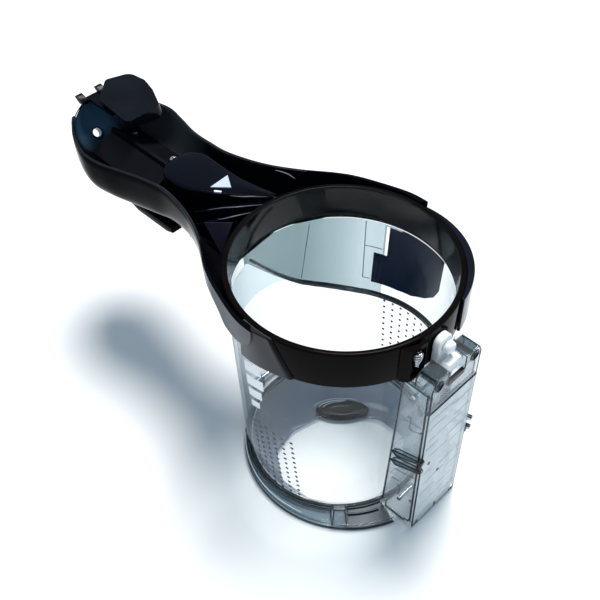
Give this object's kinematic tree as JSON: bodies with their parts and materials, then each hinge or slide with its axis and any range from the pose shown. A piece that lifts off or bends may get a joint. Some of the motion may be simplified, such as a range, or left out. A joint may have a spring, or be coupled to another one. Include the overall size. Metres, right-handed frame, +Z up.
{
  "type": "vacuum cleaner dust container",
  "caption": "Clear tapered dust drum in a glossy black collar with a cradle-shaped release arm, a clear latch channel and a drop-down bottom lid.",
  "frame": {"origin": "on the drum's axis, at the plane the container stands on (underside of the bottom lid)", "axes": "+Z up along the drum's axis, +X toward the clear latch channel, -X along the release arm"},
  "size_m": [0.297, 0.13, 0.1455],
  "materials": {
    "glossy_black": "high gloss moulded ABS",
    "dark_moulding": "gloss moulded ABS, slightly bluish",
    "clear_drum": "clear smoky polycarbonate, polished",
    "clear_channel": "clear polycarbonate with moulded ribs",
    "clear_lid": "clear smoky polycarbonate, polished",
    "dark_rib": "dark smoked plastic rib",
    "seal_rubber": "matt soft rubber",
    "navy_label": "dark blue film label",
    "white_plastic": "satin white acetal",
    "pale_print": "pale grey inlay",
    "milky_rod": "milky natural acetal",
    "bush_blue": "dark blue-grey gloss",
    "steel": "bright drawn steel",
    "screw_black": "black oxide screw"
  },
  "bodies": {
    "container": {"collar": "glossy_black", "inlet_cowl": "glossy_black", "drum": "clear_drum", "collar_gasket": "seal_rubber", "inlet_ramp": "dark_rib", "label_panel": "navy_label", "arm_shell": "glossy_black", "arm_tray": "dark_moulding", "arm_pad": "dark_moulding", "arrow_mark": "pale_print", "end_lobe": "dark_moulding", "socket_bush": "bush_blue", "tray_screws": "steel", "button_guide": "glossy_black", "contact_spring": "steel", "channel_housing": "clear_channel", "cover_lower": "clear_channel", "cover_upper": "clear_channel", "cover_screws": "screw_black", "spring_seat": "milky_rod", "hinge_pin": "steel", "catch_pin": "steel", "post_pin": "steel"},
    "lid": {"lid": "clear_lid", "lid_seal": "seal_rubber"},
    "release": {"release_bar": "white_plastic", "push_rod": "milky_rod", "release_spring": "steel"},
    "lid_catch": {"lid_catch": "white_plastic"},
    "latch_post": {"latch_post": "white_plastic"},
    "arm_button": {"arm_button": "dark_moulding", "button_spring": "steel"},
    "hook_slider": {"hook_slider": "dark_moulding"}
  },
  "joints": [
    {"name": "lid_hinge", "type": "hinge", "parent": "container", "child": "lid", "pos_m": [-0.0608, 0, 0.0044], "axis": [0, 1, 0], "range_deg": [0, 95]},
    {"name": "release_press", "type": "slide", "parent": "container", "child": "release", "axis": [0, 0, -1], "range_m": [0, 0.0025], "stiffness_N_per_m": 300, "springref_m": -0.002, "deforming": ["release_spring"]},
    {"name": "catch_turn", "type": "hinge", "parent": "container", "child": "lid_catch", "pos_m": [0.0635, 0, 0.017], "axis": [0, 1, 0], "range_deg": [0, 20.5]},
    {"name": "post_tilt", "type": "hinge", "parent": "container", "child": "latch_post", "pos_m": [0.0644, 0, 0.11], "axis": [0, 1, 0], "range_deg": [0, 5], "stiffness_Nm_per_rad": 0.3, "springref_deg": -4.58},
    {"name": "button_press", "type": "slide", "parent": "container", "child": "arm_button", "axis": [0, 0, 1], "range_m": [0, 0.003], "stiffness_N_per_m": 300, "springref_m": -0.002, "deforming": ["button_spring"]},
    {"name": "hook_slide", "type": "slide", "parent": "container", "child": "hook_slider", "axis": [1, 0, 0], "range_m": [0, 0.004]}
  ],
  "couplings": [
    {"joint": "catch_turn", "follows": "release_press", "rad_per_m": 139.6},
    {"joint": "hook_slide", "follows": "button_press", "ratio": 1.3333}
  ]
}
